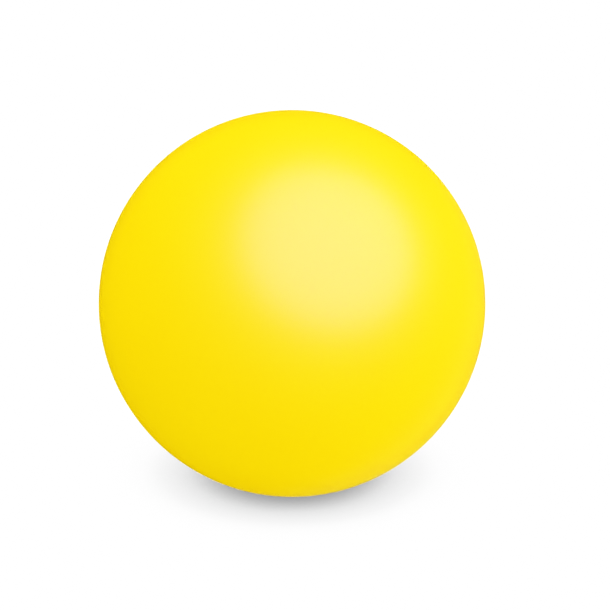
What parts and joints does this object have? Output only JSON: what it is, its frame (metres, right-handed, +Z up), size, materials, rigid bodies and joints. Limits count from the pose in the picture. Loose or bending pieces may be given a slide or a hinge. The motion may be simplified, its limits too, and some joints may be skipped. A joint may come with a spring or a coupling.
{
  "type": "stress ball",
  "caption": "Round squeezable foam ball with a smooth yellow coat, a dense skin inside it and a soft foam core, standing on a small flat.",
  "frame": {"origin": "centre of the small flat at the ball's bottom pole, the point it stands on", "axes": "+Z up through both poles, square to the parting line; +X and +Y are alike, as the ball is round"},
  "size_m": [0.063, 0.063, 0.0627],
  "materials": {
    "yellow_coat": "satin",
    "foam_skin": "matte",
    "foam": "matte"
  },
  "bodies": {
    "lower_half": {"lower_coat": "yellow_coat", "lower_skin": "foam_skin", "gate_patch": "yellow_coat"},
    "core": {"foam_core": "foam"},
    "upper_half": {"upper_coat": "yellow_coat", "upper_skin": "foam_skin"}
  },
  "joints": [
    {"name": "squeeze", "type": "slide", "parent": "lower_half", "child": "upper_half", "axis": [0, 0, 1], "range_m": [-0.025, 0], "stiffness_N_per_m": 1400, "deforming": ["upper_coat", "upper_skin", "lower_coat", "lower_skin", "gate_patch"]},
    {"name": "core_squeeze", "type": "slide", "parent": "lower_half", "child": "core", "axis": [0, 0, 1], "range_m": [-0.0125, 0], "deforming": ["foam_core"]}
  ],
  "couplings": [
    {"joint": "core_squeeze", "follows": "squeeze", "ratio": 0.5}
  ]
}
